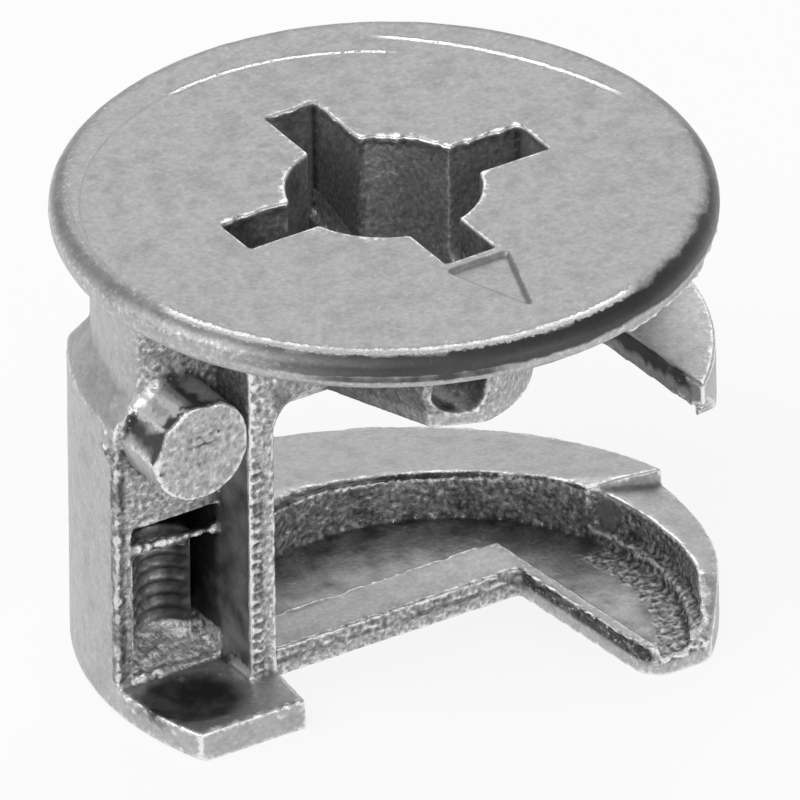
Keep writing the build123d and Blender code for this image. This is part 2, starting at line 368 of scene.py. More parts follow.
def on_jaw(x, y):
    """A place on the sloped top of the lower jaw."""
    return x, y, JAW_HEIGHT - JAW_FALL_X * x - JAW_FALL_Y * y


def tab_path(height):
    """A level line round the front of the tab."""
    return ring_path(BODY_AXIS, TAB_RADIUS, -178, -160, height, 12) + [(*TAB_END, height)]


JAW_BURRS = [
    ("strip_front", level_line((-3.75, STRIP_FRONT), (3.1, STRIP_FRONT), 0.72), 0.045, 0.6),
    ("strip_lower", level_line((-3.75, STRIP_FRONT), (3.1, STRIP_FRONT), 0.5), 0.045, 0.9),
    ("strip_back", level_line((-3.7, 0.78), (2.8, 0.78), 0.75), 0.035, 0.6),
    ("claw_lip", level_line((3.12, -0.6), (3.5, -4.5), 0.74), 0.04, 0.9),
    ("hub_rib", level_line((0.44, -1.43), (0.1, -2.75), 6.8), 0.07, 0.5),
    ("rim_flash", ring_path(AXIS, 7.4, -75, -22, 10.68), 0.06, 0.9),
    ("jaw_flash", [on_jaw(x, y) for x, y, _ in ring_path(BODY_AXIS, 7.16, 66, 27, 0)], 0.05, 0.5),
    ("tab_edge", tab_path(0.71), 0.075, 0.7),
    ("tab_line", tab_path(0.54), 0.065, 0.9),
]


def burr_along(name, path, thickness, raggedness, seed):
    """A ragged thread of metal along a path of points in millimetres."""
    curve = bpy.data.curves.new(name, "CURVE")
    curve.dimensions = "3D"
    line = curve.splines.new("POLY")
    line.points.add(len(path) - 1)
    for point, place in zip(line.points, path):
        point.co = (*place, 1)
    return shaped_by(curve, BURR, {
        "Thickness": thickness, "Raggedness": raggedness, "Seed": seed, "Metal": zinc,
    })


burrs = [
    burr_along(*row, float(number))
    for number, row in enumerate(RECESS_BURRS + COLUMN_BURRS + JAW_BURRS)
]
print("burrs:", len(burrs), "faces:", sum(len(burr.polygons) for burr in burrs))

# %% [markdown]
# Inside the column the die left a shallow well with ridges like a thread, and its marks show again
# as small teeth down the corner of the wall beside it. They could be cut one by one, but they
# repeat: a ridge is an arc of thick wire, and one tree stacks as many as its count says.

# %% Stacks of ridges
def ridge_tree():
    """A stack of level arcs of thick wire."""
    tree, given = new_tree("stack_of_ridges", "GeometryNodeTree", {
        "Start": "shape", "Count": 8, "Pitch": 0.34, "Radius": 0.8, "Wire": 0.12,
        "First angle": 0.0, "Sweep": 2.0, "Metal": "metal",
    }, {"Ridges": "shape"})
    arc = node(
        tree, "GeometryNodeCurveArc", Resolution=16, Radius=given["Radius"],
        Start_Angle=given["First angle"], Sweep_Angle=given["Sweep"],
    )
    ring = node(tree, "GeometryNodeCurvePrimitiveCircle", Radius=given["Wire"], Resolution=10)
    wire = node(tree, "GeometryNodeCurveToMesh", Curve=arc, Profile_Curve=ring, Fill_Caps=True)
    step = node(tree, "ShaderNodeCombineXYZ", Z=given["Pitch"])
    row = node(tree, "GeometryNodeMeshLine", Count=given["Count"], Offset=step)
    stack = node(tree, "GeometryNodeInstanceOnPoints", Points=row, Instance=wire)
    return close_shape(tree, "Ridges", stack, given["Metal"])


RIDGES = ridge_tree()


def ridges_at(place, count, pitch, radius, wire, first, sweep):
    """Ridges about an upright axis that starts at a place."""
    made = shaped_by(bpy.data.meshes.new("start"), RIDGES, {
        "Count": count, "Pitch": pitch, "Radius": radius, "Wire": wire,
        "First angle": radians(first), "Sweep": radians(sweep), "Metal": zinc,
    })
    made.transform(Matrix.Translation(place))
    return made


WELL = (-5.6, 0.35, 1.2)
WELL_RADIUS = 0.8
TEETH = (WALL_LEFT + 0.17, WALL_FRONT + 0.03, 0.95)
well_ridges = ridges_at(WELL, count=8, pitch=0.34, radius=WELL_RADIUS, wire=0.11, first=25, sweep=130)
wall_teeth = ridges_at(TEETH, count=21, pitch=0.26, radius=0.1, wire=0.05, first=200, sweep=140)
print("ridge faces:", len(well_ridges.polygons), "tooth faces:", len(wall_teeth.polygons))

# %% [markdown]
# Between two ridges one should see metal and not the dark behind. A closed block behind the arcs
# fills that space: it takes the same arc as its front and reaches back into the wall.

# %% Metal behind the ridges
BACKING_BOTTOM = 0.6
BACKING_TOP = 3.9
BACKING_REAR = [(-6.7, 0.9), (-6.4, 2.0), (-4.9, 2.5), (-4.75, 1.0)]


def upright_block(outline, bottom, top):
    """A closed block from a level outline, between two heights."""
    shape = bmesh.new()
    below = [shape.verts.new((x, y, bottom)) for x, y in outline]
    above = [shape.verts.new((x, y, top)) for x, y in outline]
    shape.faces.new(below[::-1])
    shape.faces.new(above)
    for k in range(len(outline)):
        after = (k + 1) % len(outline)
        shape.faces.new((below[k], below[after], above[after], above[k]))
    bmesh.ops.recalc_face_normals(shape, faces=shape.faces)
    data = bpy.data.meshes.new("block")
    shape.to_mesh(data)
    shape.free()
    return data


well_wall = [(x, y) for x, y, _ in ring_path(WELL[:2], WELL_RADIUS, 15, 165, 0)]
backing = upright_block(well_wall + BACKING_REAR, BACKING_BOTTOM, BACKING_TOP)
print("faces of the backing:", len(backing.polygons))

# %% [markdown]
# The shape is worked on in two ways. A modifier does what Blender has a tool for, and what it gives
# is then made the piece's own mesh. What has to follow the form of this casting is done on all
# points at once, with numpy. These helpers carry the points and their values back and forth.

# %% Helpers for finished meshes
def made_plain(piece):
    """Turns what the modifiers give into the piece's own mesh, and removes the modifiers."""
    data = evaluated(piece)
    piece.modifiers.clear()
    piece.data = data
    return data


def rows_of(data, name):
    """Where a mesh's points are ("co") or look ("normal"), one row each."""
    flat = np.empty(len(data.vertices) * 3)
    data.vertices.foreach_get(name, flat)
    return flat.reshape(-1, 3)


def put_points(data, rows):
    """Moves a mesh's points to new places."""
    data.vertices.foreach_set("co", rows.ravel())
    data.update()


def put_values(data, name, values):
    """Stores one number per point, under a name that a material or a node tree can read."""
    store = data.attributes.get(name) or data.attributes.new(name, "FLOAT", "POINT")
    store.data.foreach_set("value", values.astype(np.float32))


print("points of the casting before the remesh:", len(rows_of(casting.data, "co")))

# %% [markdown]
# All the metal is put in one mesh and remeshed. Booleans could join it too, but they leave edges
# sharp and often fail on ragged metal. A voxel remesh joins whatever overlaps and gives an even
# skin of small faces, and a little smoothing turns the sharp edges into cast ones.

# %% One even skin
SKIN = 0.055
EASE = 0.5
EDGE_ROUNDS = 3


def put_together(target, others):
    """Adds other meshes to a mesh."""
    both = bmesh.new()
    both.from_mesh(target)
    for other in others:
        both.from_mesh(other)
    both.to_mesh(target)
    both.free()


def neighbour_mean(data, values):
    """For each point, the mean of its neighbours' rows."""
    ends = np.empty(len(data.edges) * 2, dtype=np.int32)
    data.edges.foreach_get("vertices", ends)
    a, b = ends.reshape(-1, 2).T
    count = np.bincount(a, minlength=len(values)) + np.bincount(b, minlength=len(values))
    total = np.stack([
        np.bincount(a, values[b, k], len(values)) + np.bincount(b, values[a, k], len(values))
        for k in range(values.shape[1])
    ], 1)
    return total / np.maximum(count, 1)[:, None]


def eased(data, values, rounds, weight=1.0):
    """Draws each point's row towards its neighbours', some rounds long and by its weight."""
    for _ in range(rounds):
        values = values + EASE * weight * (neighbour_mean(data, values) - values)
    return values


put_together(casting.data, burrs + [well_ridges, wall_teeth, backing])
remesh = casting.modifiers.new("skin", "REMESH")
remesh.mode = "VOXEL"
remesh.voxel_size = SKIN
remesh.use_smooth_shade = True
skin = made_plain(casting)
places = eased(skin, rows_of(skin, "co"), EDGE_ROUNDS)
print("skin faces:", len(skin.polygons))

# %% [markdown]
# The metal ran into the die through a gate, and its stub was broken and cut off, so the stub's side
# has flats. A flat is made as a file makes it: whatever stands out beyond a plane is moved back
# onto the plane. A flat is given by its direction in degrees and the share of the radius it leaves.

# %% Flats on the stub
GATE = (-5.8, 0.0, 7.23)
GATE_RADIUS = 1.225
GATE_FLATS = ((155, 0.9), (128, 0.93), (85, 0.93))
STUB_ROOT = -0.12
STUB_REACH = GATE_RADIUS * 1.05
STUB_RIGHT = WALL_LEFT - 0.15


def filed(rows):
    """The points, with each flat filed onto the stub."""
    x, y, z = rows.T
    stub = (y < STUB_ROOT) & (np.hypot(x - GATE[0], z - GATE[2]) < STUB_REACH) & (x < STUB_RIGHT)
    for angle, share in GATE_FLATS:
        outward = np.array((cos(radians(angle)), 0, sin(radians(angle))))
        beyond = (rows - np.array(GATE)) @ outward - share * GATE_RADIUS
        rows = rows - np.where(stub & (beyond > 0), beyond, 0)[:, None] * outward
    print("points on the stub:", int(stub.sum()))
    return rows


places = filed(places)

# %% [markdown]
# The tab under the pocket has a shallow dish. It could be carved with a ball and a boolean, but it
# is so flat that moving the points down is simpler: most in the middle, and less towards the rim.

# %% Dish in the tab
DISH_DEPTH = 0.16
DISH_CENTRE = (-5.75, -1.35)
DISH_REACH = (1.15, 1.0)
TAB_TOP = (0.7, 0.8, 0.05)


def between(value, low, high, fade=0.0):
    """1 inside a range and 0 outside it; a fade makes the ends soft."""
    if fade == 0.0:
        return (value >= low) & (value < high)
    return np.clip((value - low) / fade + 1, 0, 1) * np.clip((high - value) / fade + 1, 0, 1)


from_left = (places[:, 0] - DISH_CENTRE[0]) / DISH_REACH[0]
from_front = (places[:, 1] - DISH_CENTRE[1]) / DISH_REACH[1]
hollowed = np.clip(1 - from_left ** 2 - from_front ** 2, 0, 1)
places[:, 2] -= DISH_DEPTH * hollowed * between(places[:, 2], *TAB_TOP)
print("points over the dish:", int((hollowed > 0).sum()))

# %% [markdown]
# The neck runs smoothly round into the front of the column. A bevel would need a clean edge, which
# the remesh doesn't leave. So the same smoothing runs many more times, with a weight that is 1 at
# the upright edge and 0 away from it.

# %% Round the neck's front edge
NECK_EDGE = (-6.6, 0.0)
NECK_OUT = (0, 0.48, 0.8)
NECK_HEIGHTS = (8.3, 10.2, 0.3)
NECK_ROUNDS = 160

neck_out = np.hypot(places[:, 0] - NECK_EDGE[0], places[:, 1] - NECK_EDGE[1])
neck = between(neck_out, *NECK_OUT) * between(places[:, 2], *NECK_HEIGHTS)
places = eased(skin, places, NECK_ROUNDS, neck[:, None])
put_points(skin, places)
print("points rounded at the neck:", int((neck > 0).sum()))

# %% [markdown]
# The skin isn't the same everywhere: some of it is coarse or speckled, some is rubbed bright, and on
# some of it shade, reflections and highlights are painted. Masks could be painted by hand, but the
# places are known in millimetres, so each region is described by measures: how far out a point is,
# how high, and which way it faces. One function asks whether a point is within some limits. A limit
# is a low and a high end, and a fade if the border is soft.

# %% Measures of a place, and what is within limits
GROOVE = (0.4, -1.9)
BEYOND = 20.0


def measures(data):
    """For each point of a mesh: where it is, how far out from four axes, and how it faces."""
    rows, normals = rows_of(data, "co"), rows_of(data, "normal")
    x, y, z = rows.T
    return {
        "place": rows, "x": x, "y": y, "z": z,
        "facing_x": normals[:, 0], "facing_y": normals[:, 1], "level": np.abs(normals[:, 2]),
        "axis_out": np.hypot(x, y),
        "axis_turn": np.degrees(np.arctan2(y, x)),
        "body_out": np.hypot(x - BODY_AXIS[0], y - BODY_AXIS[1]),
        "groove_out": np.hypot(x - GROOVE[0], y - GROOVE[1]),
        "stub_out": np.hypot(x - GATE[0], z - GATE[2]),
        "stub_turn": np.degrees(np.arctan2(z - GATE[2], x - GATE[0])),
    }


def within(at, **limits):
    """1 where every named measure is within its limits, and 0 elsewhere."""
    share = 1.0
    for name, ends in limits.items():
        share = share * between(at[name], *ends)
    return share


def points_in(regions):
    """How many points are well inside each region."""
    return {name: int((share > 0.5).sum()) for name, share in regions.items()}


at_skin = measures(skin)
print("points that face up or down:", points_in({"level": within(at_skin, level=(0.9, BEYOND))}))

# %% [markdown]
# The jaws' inside is where the bolt's head turns. Its wall is coarse and speckled, and the groove's
# floor is polished, with a painted reflection of the dark wall that is darker towards the wall. The
# lips beside the gap get painted shade, and a painted shadow runs along the top edge of the wall.
# Dark bands run up the wall and spots of painted reflection lie on the floor: these are spots, each
# with its place and its size.

# %% Regions of the jaws
GROOVE_FLOOR = 0.45
STRIP_TOP = 0.75
TO_FRONT = (-1.1, -0.5, 0.2)
TO_LEFT = (-1.1, -0.6, 0.2)
SPOT_EDGE = 1.5
WALL_BANDS = (
    ((0.75, 3.45, 0.9), (0.12, 0.4, 0.6)), ((1.5, 3.3, 0.9), (0.35, 0.4, 0.6)),
    ((3.6, 2.35, 0.9), (0.4, 0.4, 0.6)), ((5.4, 0.15, 0.9), (0.12, 0.2, 0.4)),
)
FLOOR_REFLECTION_SPOTS = (
    ((0.0, 2.95, 0.45), (0.6, 0.4, 0.3)), ((3.1, 1.9, 0.45), (0.9, 0.5, 0.3)),
    ((1.5, 2.9, 0.45), (1.2, 0.3, 0.3)),
)


def spot(at, centre, size):
    """1 near a place and 0 away from it, with a soft border; the size may differ by axis."""
    away = np.linalg.norm((at["place"] - np.array(centre)) / np.array(size), axis=1)
    return np.clip(SPOT_EDGE - away, 0, 1)


def strongest(at, rows):
    """The strongest of a few spots; each row is a place and a size."""
    return np.max([spot(at, centre, size) for centre, size in rows], 0)


def jaw_regions(at):
    """The inside of the jaws, the claw at the right and the lips beside the gap."""
    wall = within(
        at, groove_out=(5.15, 5.75, 0.15), level=(0, 0.8, 0.15),
        z=(GROOVE_FLOOR + 0.05, 6.8, 0.05), x=(-3.7, 5.6, 0.1),
    )
    claw = within(
        at, groove_out=(4.65, 5.68, 0.12), y=(-5.4, -0.5, 0.3), z=(0.35, 1.45, 0.05), x=(3.5, 7.0, 0.2),
    )
    floor_of_groove = within(
        at, z=(0.35, GROOVE_FLOOR + 0.05, 0.03), groove_out=(0, 5.6, 0.1), x=(-3.7, BEYOND),
    )
    groove = floor_of_groove * (1 - claw)
    return {
        "jaw_wall": wall,
        "claw": claw,
        "groove": groove,
        # Painted reflection of the dark wall: the groove's floor is darker towards the wall.
        "deep": groove * within(at, groove_out=(5.1, BEYOND, 1.5), y=(0, BEYOND)),
        # Painted shadow of a small step along the wall's top edge.
        "jaw_edge": within(
            at, groove_out=(5.28, 5.48, 0.04), z=(1.2, 1.7, 0.05), x=(-3.7, 5.5, 0.1),
            y=(0.2, BEYOND), level=(0.6, 1.1, 0.2),
        ),
        # Painted reflection: the lower lip's face beside the gap is dark.
        "lip": within(
            at, facing_x=TO_LEFT, z=(0.4, STRIP_TOP, 0.05), x=(2.9, 4.2, 0.1), y=(-5.0, -0.7, 0.2),
        ),
        # Painted shadow under the upper claw, on its face beside the gap.
        "upper_lip": within(
            at, facing_x=TO_LEFT, z=(7.0, 7.36, 0.04), x=(4.3, 5.4, 0.2), y=(-4.9, -0.5, 0.2),
        ),
        "strip_face": within(
            at, facing_y=TO_FRONT, y=(-0.6, -0.3, 0.1), x=(-3.8, 3.2, 0.1), z=(0, STRIP_TOP, 0.05),
        ),
        "wall_bands": strongest(at, WALL_BANDS) * wall,
        # Dark spots on the floor near the wall: painted reflection of the wall.
        "floor_reflections": strongest(at, FLOOR_REFLECTION_SPOTS),
    }


print("points in each region of the jaws:", points_in(jaw_regions(at_skin)))

# %% [markdown]
# The disc carries the driver recess and, below it, the hub. In the recess the arms get painted
# shade, a web with a painted highlight and a pale facet lie beside the back arm, and its right side
# is speckled. The rim has a dark band in front, a painted reflection, whose strength follows the
# direction, so it is a list of angles in degrees, each with a strength.

# %% Regions of the disc
WEB_SLOPE = 0.29
RIM_REFLECTION_TURNS = (
    (-152, 0.1), (-140, 0.7), (-130, 0.9), (-121, 1), (-70, 1), (-58, 0.9), (-30, 0.65), (-5, 0),
)


def by_turn(turn, rows):
    """A strength that follows an angle, from rows of an angle and its strength."""
    return np.interp(turn, *zip(*rows))


def rim_dark(at):
    """The painted reflection: a dark band round the front of the disc's rim."""
    return by_turn(at["axis_turn"], RIM_REFLECTION_TURNS) * within(at, axis_out=(6.5, BEYOND), z=(10.6, BEYOND))


def disc_regions(at):
    """The driver recess, the hub and the shade under the rim."""
    recess = within(at, axis_out=(0, RECESS_REACH, 0.05), z=(7.2, 11.3, 0.1))
    far = recess * within(at, x=(0.8, BEYOND))
    facet = recess * within(at, x=(0.5, 0.8, 0.05), y=(2.2, 3.9, 0.1))
    web_height = at["z"] - WEB_SLOPE * (at["y"] - RECESS_REACH)
    return {
        "recess": recess,
        "far": far,
        # Painted highlight: the lower part of the facet, where light falls into the recess.
        "web": facet * between(web_height, 7.2, 9.25, 0.05),
        # Painted shade: the recess arms, all but the facet, are darkened.
        "arms": (recess - far) * (1 - facet),
        "hub": within(at, axis_out=(0, 3.5, 0.1), z=(6.6, 8.4, 0.1)),
        "under_rim": within(at, axis_turn=(-130, -104, 8), z=(10.84, 11.0, 0.04), axis_out=(7.0, BEYOND)),
    }


print("points in each region of the disc:", points_in(disc_regions(at_skin)))

# %% [markdown]
# The column's front is coarse, its pocket gets painted shade except on the ridges, and the ramp at
# its bottom is rough and bright. The tab's dish is smooth and dark, a painted reflection, and its
# tone reaches a little further than the dish itself.

# %% Regions of the column
BODY_INSIDE = (0, 6.95)
POLISH_CENTRE = (-6.0, -1.2)
POLISH_REACH = (1.25, 1.05)
RIDGE_LIGHT = 0.75


def column_regions(at):
    """The column, the pocket with its ramp, the wall beside the gap, and the tab's dish."""
    pocket = within(
        at, x=(-6.85, WALL_LEFT, 0.05), y=(0.05, 2.6, 0.05), z=(0.8, 4.7, 0.05), body_out=BODY_INSIDE,
    )
    ribbed = pocket * within(at, x=(-6.9, -5.75, 0.6), y=(0.0, 1.3, 0.1))
    ramp = within(
        at, x=(-6.8, WALL_LEFT, 0.05), y=(-0.05, 1.6, 0.1), z=(0.75, 1.4, 0.08), body_out=BODY_INSIDE,
    )
    wall_side = within(at, x=(WALL_LEFT - 0.08, WALL_LEFT + 0.08, 0.04), y=(-1.2, 0.1, 0.1))
    polish_out = np.hypot(
        (at["x"] - POLISH_CENTRE[0]) / POLISH_REACH[0], (at["y"] - POLISH_CENTRE[1]) / POLISH_REACH[1],
    )
    return {
        "ribbed": ribbed,
        "ramp": ramp,
        # Painted shade in the pocket, taken back on the ridges and the ramp.
        "pocket_shade": pocket * (1 - RIDGE_LIGHT * ribbed) * (1 - ramp),
        "parting": within(at, x=(-7.3, -6.95, 0.05), y=(-0.1, 0.2, 0.05), z=(0.9, 6.9, 0.1)),
        "column_front": within(
            at, x=(-7.3, -3.7, 0.05), y=(-1.38, 0.06, 0.05), z=(0.8, 10.4, 0.1), facing_y=TO_FRONT,
        ),
        # Painted shade on the low part of the wall's side that faces the pocket.
        "wall_low": wall_side * within(at, z=(0.8, 6.9, 0.2)),
        "wall_high": wall_side * within(at, z=(7.2, 10.4, 0.2)),
        # Painted shade in the gaps between the teeth.
        "tooth_gaps": within(
            at, x=(WALL_LEFT + 0.08, WALL_LEFT + 0.3, 0.04), facing_y=TO_FRONT,
            z=(0.9, 6.3, 0.1), y=(-1.5, -1.2, 0.05),
        ),
        # Painted reflection: the tab's dish is darkened.
        "dish": between(polish_out, 0, 0.8, 0.3) * within(at, z=(0.5, 0.85, 0.05)),
    }


print("points in each region of the column:", points_in(column_regions(at_skin)))

# %% [markdown]
# Round the stub of the gate, some flats are dark with painted shade and some are bright with a
# painted highlight, and a dark crescent of painted shade lies behind its broken face. The last marks
# are single ones: bright spots of painted highlight, and the painted shade of small pits and cracks.

# %% Regions of the stub, and single marks
STUB_SHADE_TURNS = ((79, 0), (83, 1), (93, 1), (97, 0), (146, 0), (150, 1), (168, 1), (174, 0))
STUB_HIGHLIGHT_TURNS = ((100, 0), (104, 1), (118, 1), (120, 0), (126, 0), (128, 1), (142, 1), (146, 0))
HIGHLIGHT_SPOTS = (
    ((5.5, -4.45, 1.35), (0.18, 0.3, 0.25)), ((5.25, -4.8, 1.0), (0.16, 0.25, 0.3)),
    ((4.35, -5.15, 0.6), (0.4, 0.16, 0.2)), ((4.95, -5.0, 0.8), (0.2, 0.16, 0.2)),
    ((4.9, -5.0, 7.3), (0.14, 0.14, 0.12)), ((4.75, -4.45, 7.1), (0.12, 0.2, 0.1)),
    ((0.65, -2.3, 10.6), (0.1, 0.08, 0.12)), ((-4.4, -0.9, 0.8), (0.3, 0.5, 0.2)),
)
PITS = (
    ((-6.87, -1.5, 7.0), 0.09), ((-5.86, -1.5, 6.96), (0.14, 0.1, 0.05)),
    ((-5.8, -1.5, 7.42), (0.4, 0.1, 0.04)), ((-5.6, -1.5, 7.62), (0.45, 0.1, 0.03)),
    ((-7.1, 0.3, 6.8), (0.2, 0.3, 0.12)), ((-0.1, -2.75, 7.3), (0.18, 0.35, 0.25)),
)


def mark_regions(at):
    """The flats and the face of the stub, the spots of painted highlight and the painted shade of pits.
    """
    side = within(at, y=(-1.42, -0.1, 0.05), stub_out=(0.9, 1.35, 0.1))
    crescent = within(at, y=(-1.37, -1.25, 0.05), stub_turn=(30, 200, 15))
    return {
        # Painted shade on the dark flats and the crescent, painted highlight on the bright flats.
        "stub_shade": np.maximum(by_turn(at["stub_turn"], STUB_SHADE_TURNS), crescent) * side,
        "stub_highlight": by_turn(at["stub_turn"], STUB_HIGHLIGHT_TURNS) * side * (1 - crescent),
        "stub_face": within(at, y=(-BEYOND, -1.4), stub_out=(0, 1.3, 0.1)),
        # Spots of painted highlight, and painted shade in pits and cracks.
        "highlight_spots": strongest(at, HIGHLIGHT_SPOTS),
        "pits": strongest(at, PITS),
    }


print("points in each mark:", points_in(mark_regions(at_skin)))

# %% [markdown]
# The regions are gathered in five zones, which the shape and the material both read. A table says
# how strongly each region counts in a zone, and where regions overlap, the strongest holds. A zone
# is one number per point and can't be finer than the mesh, so borders are soft here, and the
# material makes them ragged.

# %% Zones of the skin
ZONES = {
    "coarse": {
        "jaw_wall": 0.65, "recess": 0.3, "web": 1, "ribbed": 0.3, "ramp": 0.8, "column_front": 0.6,
        "claw": 1, "strip_face": 0.55, "hub": 0.2, "lip": 1, "deep": 0.25, "parting": 0.6,
        "wall_high": 0.6, "stub_face": 0.35,
    },
    # Mostly painted shade and painted reflection: pocket, recess arms, lips, pits, floor, under the rim.
    "dark": {
        "dish": 0.8, "pocket_shade": 0.9, "arms": 0.45, "wall_bands": 0.5, "floor_reflections": 0.6,
        "deep": 0.55, "claw": 0.1, "lip": 0.9, "upper_lip": 1, "stub_shade": 1, "pits": 1,
        "wall_low": 0.55, "parting": 0.5, "groove": 0.5, "jaw_edge": 0.8, "under_rim": 0.9,
        "tooth_gaps": 0.45,
    },
    # Painted highlight on the spots, the stub's bright flats and the web; the ramp is made bright too.
    "bright": {"highlight_spots": 1, "stub_highlight": 0.8, "web": 0.75, "ramp": 0.6},
    "specks": {"far": 1, "jaw_wall": 1, "claw": 0.7, "lip": 1, "column_front": 0.6, "hub": 0.4},
    "polish": {"groove": 1, "dish": 1},
}


def put_zones(data):
    """Stores the zones on a mesh, and gives the mean of each."""
    at = measures(data)
    regions = jaw_regions(at) | disc_regions(at) | column_regions(at) | mark_regions(at)
    means = {}
    for zone_name, parts in ZONES.items():
        values = np.max([share * regions[name] for name, share in parts.items()], 0)
        put_values(data, zone_name, values)
        means[zone_name] = round(float(values.mean()), 3)
    return means


print("mean of each zone:", put_zones(skin))

# %% [markdown]
# A coarse skin is uneven in its shape too. A node tree moves the points in and out by noise: long
# low lumps everywhere, and sharper grains where the skin is coarse. Doing it on points and not in
# the material keeps the outline uneven as well.

# %% Node tree for an uneven skin
def skin_tree():
    """Moves the points of a mesh in and out by noise, more where the skin is coarse."""
    tree, given = new_tree("uneven_skin", "GeometryNodeTree", {
        "Casting": "shape", "Lump height": 0.01, "Grain height": 0.06, "Lumps per mm": 1.5,
        "Grains per mm": 4.0, "Metal": "metal",
    }, {"Skin": "shape"})
    here = node(tree, "GeometryNodeInputPosition")
    coarse = node(tree, "GeometryNodeInputNamedAttribute", {"data_type": "FLOAT"}, Name="coarse")

    def bumps(scale, reach):
        """How far noise of one scale moves a point."""
        noise = node(tree, "ShaderNodeTexNoise", Vector=here, Scale=scale, Detail=2.0)
        return swing(tree, noise, reach)

    lumps = bumps(given["Lumps per mm"], given["Lump height"])
    grains = times(tree, bumps(given["Grains per mm"], given["Grain height"]), coarse)
    move = node(
        tree, "ShaderNodeVectorMath", {"operation": "SCALE"},
        Vector=node(tree, "GeometryNodeInputNormal"), Scale=calc(tree, "ADD", lumps, grains),
    )
    moved = node(tree, "GeometryNodeSetPosition", Geometry=given["Casting"], Offset=move)
    return close_shape(tree, "Skin", moved, given["Metal"])


casting.data = shaped_by(skin, skin_tree(), {
    "Lump height": 0.025, "Grain height": 0.16, "Lumps per mm": 1.3, "Grains per mm": 4.5, "Metal": zinc,
})
moved_by = np.linalg.norm(rows_of(casting.data, "co") - places, axis=1)
skin = casting.data
print("the skin moved by up to", round(float(moved_by.max()), 3), "mm")

# %% [markdown]
# Edges that stand out are made bright, as wear and painted highlight, and inner corners get painted
# shade, so the material has to know both. At each point, the bend of the skin is how far the point
# stands out from the middle of its neighbours. The arrowhead in the top is sunk by only a little, so
# its bend counts for less.

# %% Measure the edges
SHARP = 0.006
BEND_ROUNDS = 2
ARROWHEAD_CALM = 0.75


def bend_of(data):
    """How far each point stands out from its neighbours, evened out over a few of them."""
    rows = rows_of(data, "co")
    stand = ((rows - neighbour_mean(data, rows)) * rows_of(data, "normal")).sum(1)
    return eased(data, stand[:, None], BEND_ROUNDS)[:, 0]


arrowhead = within(measures(skin), x=(-1.0, 1.0, 0.1), y=(-6.4, -3.75, 0.1), z=(11.2, BEYOND))
bend = bend_of(skin) * (1 - ARROWHEAD_CALM * arrowhead)
put_values(skin, "edge", np.clip(bend / SHARP, 0, 1))
put_values(skin, "crease_shade", np.clip(-bend / SHARP, 0, 1))
print("bend at the sharpest places in mm:", np.round(np.percentile(bend, (1, 50, 90, 97, 99.5)), 4))

# %% [markdown]
# Flat places need fewer faces, and Decimate takes them away. It moves some points by a hair, so
# afterwards they are held inside the CAD box, and the zones are stored again on the points that
# are left. The piece then goes back to metres.

# %% Thin out the flat places and stay in the box
TRIANGLES = 195000
MARGIN = 0.001

thin = casting.modifiers.new("thin", "DECIMATE")
thin.ratio = min(1.0, TRIANGLES / (2 * len(skin.polygons)))
skin = made_plain(casting)
# The strength of the rim's painted reflection is stored on the points that are left.
put_values(skin, "rim", rim_dark(measures(skin)))
corner_low, corner_high = (np.array(corner) / MM for corner in (cad_low, cad_high))
put_points(skin, np.clip(rows_of(skin, "co"), corner_low + MARGIN, corner_high - MARGIN))
put_zones(skin)
skin.transform(Matrix.Scale(MM, 4))
print("triangles:", sum(len(face.vertices) - 2 for face in skin.polygons))

# %% [markdown]
# Bare zinc is a grey metal. Its cast skin scatters the light, so it is rough, and small spots on
# it differ in brightness. Three effects are used more than once, so they are node groups. The
# first two are the grain of the cast skin, and a ragged border that any zone can be given.

# %% Groups: grain and ragged border
BORDER_SWING = 3.0


def grain_group():
    """Fine and broad tone of a cast skin, each about a half."""
    tree, given = new_tree("cast_grain", "ShaderNodeTree", {
        "Place": "vector", "Grains per m": 9000.0, "Spots per m": 1600.0,
    }, {"Grain": "float", "Spots": "float"})
    fine = node(
        tree, "ShaderNodeTexNoise", Vector=given["Place"], Scale=given["Grains per m"], Detail=4.0,
        Roughness=0.7,
    )
    broad = node(
        tree, "ShaderNodeTexNoise", Vector=given["Place"], Scale=given["Spots per m"], Detail=3.0,
    )
    return close_tree(tree, {"Grain": fine, "Spots": broad})


def border_group():
    """A zone with a soft border in, the same zone with a crisp ragged border out."""
    tree, given = new_tree("ragged_border", "ShaderNodeTree", {
        "Zone": 0.0, "Noise": 0.5, "Raggedness": 0.8, "Softness": 0.15,
    }, {"Zone": "float"})
    shake = swing(tree, given["Noise"], given["Raggedness"])
    moved = calc(tree, "ADD", given["Zone"], times(tree, shake, BORDER_SWING))
    start = calc(tree, "SUBTRACT", 0.5, given["Softness"])
    end = calc(tree, "ADD", 0.5, given["Softness"])
    return close_tree(tree, {"Zone": spread(tree, moved, start, end)})


GRAIN = grain_group()
BORDER = border_group()
print("nodes in the grain and border groups:", len(GRAIN.nodes), len(BORDER.nodes))

# %% [markdown]
# The top has thin rings along small steps: a painted highlight on some, painted shade on others. A
# ring could be a thin wire, but it has no height of its own. So the third group works out how far a
# place is from a circle, shakes that distance with noise, and ends the line softly at two angles.

# %% Group: ring line along a step
RING_SHAKE = 2.5
RING_CORE = 0.6
RING_FADE = 0.06
GAP_FADE = 0.2


